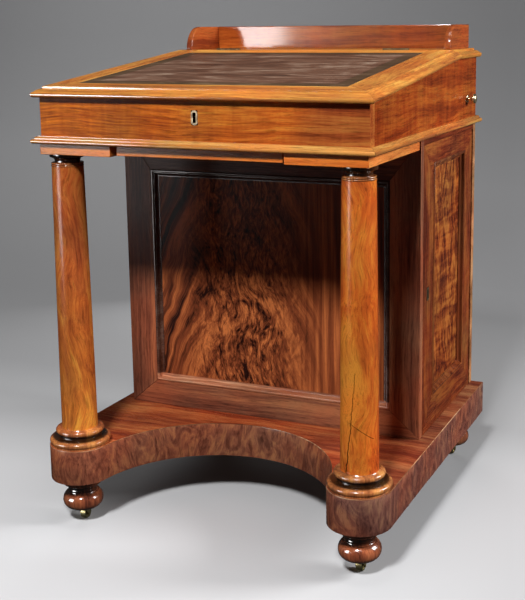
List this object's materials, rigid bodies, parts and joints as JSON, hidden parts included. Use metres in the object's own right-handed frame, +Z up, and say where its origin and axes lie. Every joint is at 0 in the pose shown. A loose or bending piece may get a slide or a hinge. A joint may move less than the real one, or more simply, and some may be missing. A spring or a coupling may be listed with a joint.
{
  "type": "davenport desk",
  "caption": "Small sloping writing desk on a panelled cupboard, with turned front columns, a curved platform, bun feet on casters and a side pen drawer.",
  "frame": {"origin": "on the floor, under the middle of the desk's bounding box", "axes": "+X to the sitter's right, +Y to the back, +Z up"},
  "size_m": [0.633, 0.633, 0.865],
  "materials": {
    "platform_veneer": "french polished",
    "turned_mahogany": "french polished",
    "case_veneer": "french polished",
    "moulding_mahogany": "french polished",
    "pedestal_veneer": "french polished",
    "door_veneer": "french polished",
    "inner_wood": "matt, aged",
    "desk_leather": "worn",
    "old_brass": "tarnished",
    "lock_metal": "aged"
  },
  "bodies": {
    "desk": {"apron_rail": "case_veneer", "bearers": "case_veneer", "bun_feet": "turned_mahogany", "case_back": "inner_wood", "case_bottom": "inner_wood", "case_front": "case_veneer", "case_moulding": "moulding_mahogany", "case_side_left": "case_veneer", "case_side_right": "case_veneer", "caster_plates": "old_brass", "column_bases": "turned_mahogany", "column_capitals": "turned_mahogany", "column_shafts": "turned_mahogany", "desk_escutcheon": "old_brass", "desk_lock": "lock_metal", "door_pivot_sockets": "old_brass", "gallery_back": "moulding_mahogany", "gallery_ends": "moulding_mahogany", "pedestal_back": "inner_wood", "pedestal_bottom": "inner_wood", "pedestal_front_frame": "pedestal_veneer", "pedestal_front_panel": "pedestal_veneer", "pedestal_left_frame": "pedestal_veneer", "pedestal_left_panel": "pedestal_veneer", "pedestal_mouldings": "moulding_mahogany", "pedestal_shelves": "inner_wood", "pedestal_top": "inner_wood", "pen_drawer_housing": "inner_wood", "pigeonhole_rack": "inner_wood", "platform_back": "inner_wood", "platform_front": "platform_veneer", "platform_sides": "platform_veneer", "platform_top": "platform_veneer", "strip_hinge_leaves": "old_brass", "top_strip": "moulding_mahogany"},
    "lid": {"lid_board": "moulding_mahogany", "writing_leather": "desk_leather", "lid_hinge_leaves": "old_brass", "lid_lock_strike": "old_brass"},
    "door": {"door_frame": "door_veneer", "door_panel": "door_veneer", "door_moulding": "moulding_mahogany", "door_lock": "lock_metal", "door_escutcheon": "old_brass", "door_pivots": "old_brass"},
    "pen_drawer": {"pen_drawer": "case_veneer", "pen_drawer_knob": "old_brass"},
    "inner_drawer_left": {"inner_drawer_left": "inner_wood"},
    "inner_drawer_right": {"inner_drawer_right": "inner_wood"},
    "desk_lock_bolt": {"desk_lock_bolt": "lock_metal"},
    "door_lock_bolt": {"door_lock_bolt": "lock_metal"},
    "fork_front_left": {"caster_fork_front_left": "old_brass"},
    "wheel_front_left": {"caster_wheel_front_left": "old_brass"},
    "fork_front_right": {"caster_fork_front_right": "old_brass"},
    "wheel_front_right": {"caster_wheel_front_right": "old_brass"},
    "fork_rear_left": {"caster_fork_rear_left": "old_brass"},
    "wheel_rear_left": {"caster_wheel_rear_left": "old_brass"},
    "fork_rear_right": {"caster_fork_rear_right": "old_brass"},
    "wheel_rear_right": {"caster_wheel_rear_right": "old_brass"}
  },
  "joints": [
    {"name": "lid_hinge", "type": "hinge", "parent": "desk", "child": "lid", "pos_m": [0, 0.1725, 0.8201], "axis": [-1, 0, 0], "range_deg": [0, 125]},
    {"name": "door_pivot", "type": "hinge", "parent": "desk", "child": "door", "pos_m": [0.2815, 0.29, 0.40575], "axis": [0, 0, 1], "range_deg": [0, 90]},
    {"name": "pen_drawer_slide", "type": "slide", "parent": "desk", "child": "pen_drawer", "axis": [1, 0, 0], "range_m": [0, 0.17]},
    {"name": "inner_drawer_left_slide", "type": "slide", "parent": "desk", "child": "inner_drawer_left", "axis": [0, -1, 0], "range_m": [0, 0.1]},
    {"name": "inner_drawer_right_slide", "type": "slide", "parent": "desk", "child": "inner_drawer_right", "axis": [0, -1, 0], "range_m": [0, 0.1]},
    {"name": "desk_bolt_slide", "type": "slide", "parent": "desk", "child": "desk_lock_bolt", "axis": [0, 0, 1], "range_m": [0, 0.006]},
    {"name": "door_bolt_slide", "type": "slide", "parent": "door", "child": "door_lock_bolt", "axis": [0, -1, 0], "range_m": [0, 0.006]},
    {"name": "swivel_front_left", "type": "hinge", "parent": "desk", "child": "fork_front_left", "pos_m": [-0.263, -0.263, 0.025], "axis": [0, 0, 1], "continuous": true},
    {"name": "axle_front_left", "type": "hinge", "parent": "fork_front_left", "child": "wheel_front_left", "pos_m": [-0.263, -0.258, 0.01], "axis": [1, 0, 0], "continuous": true},
    {"name": "swivel_front_right", "type": "hinge", "parent": "desk", "child": "fork_front_right", "pos_m": [0.263, -0.263, 0.025], "axis": [0, 0, 1], "continuous": true},
    {"name": "axle_front_right", "type": "hinge", "parent": "fork_front_right", "child": "wheel_front_right", "pos_m": [0.263, -0.258, 0.01], "axis": [1, 0, 0], "continuous": true},
    {"name": "swivel_rear_left", "type": "hinge", "parent": "desk", "child": "fork_rear_left", "pos_m": [-0.263, 0.2725, 0.025], "axis": [0, 0, 1], "continuous": true},
    {"name": "axle_rear_left", "type": "hinge", "parent": "fork_rear_left", "child": "wheel_rear_left", "pos_m": [-0.263, 0.2775, 0.01], "axis": [1, 0, 0], "continuous": true},
    {"name": "swivel_rear_right", "type": "hinge", "parent": "desk", "child": "fork_rear_right", "pos_m": [0.263, 0.2725, 0.025], "axis": [0, 0, 1], "continuous": true},
    {"name": "axle_rear_right", "type": "hinge", "parent": "fork_rear_right", "child": "wheel_rear_right", "pos_m": [0.263, 0.2775, 0.01], "axis": [1, 0, 0], "continuous": true}
  ]
}
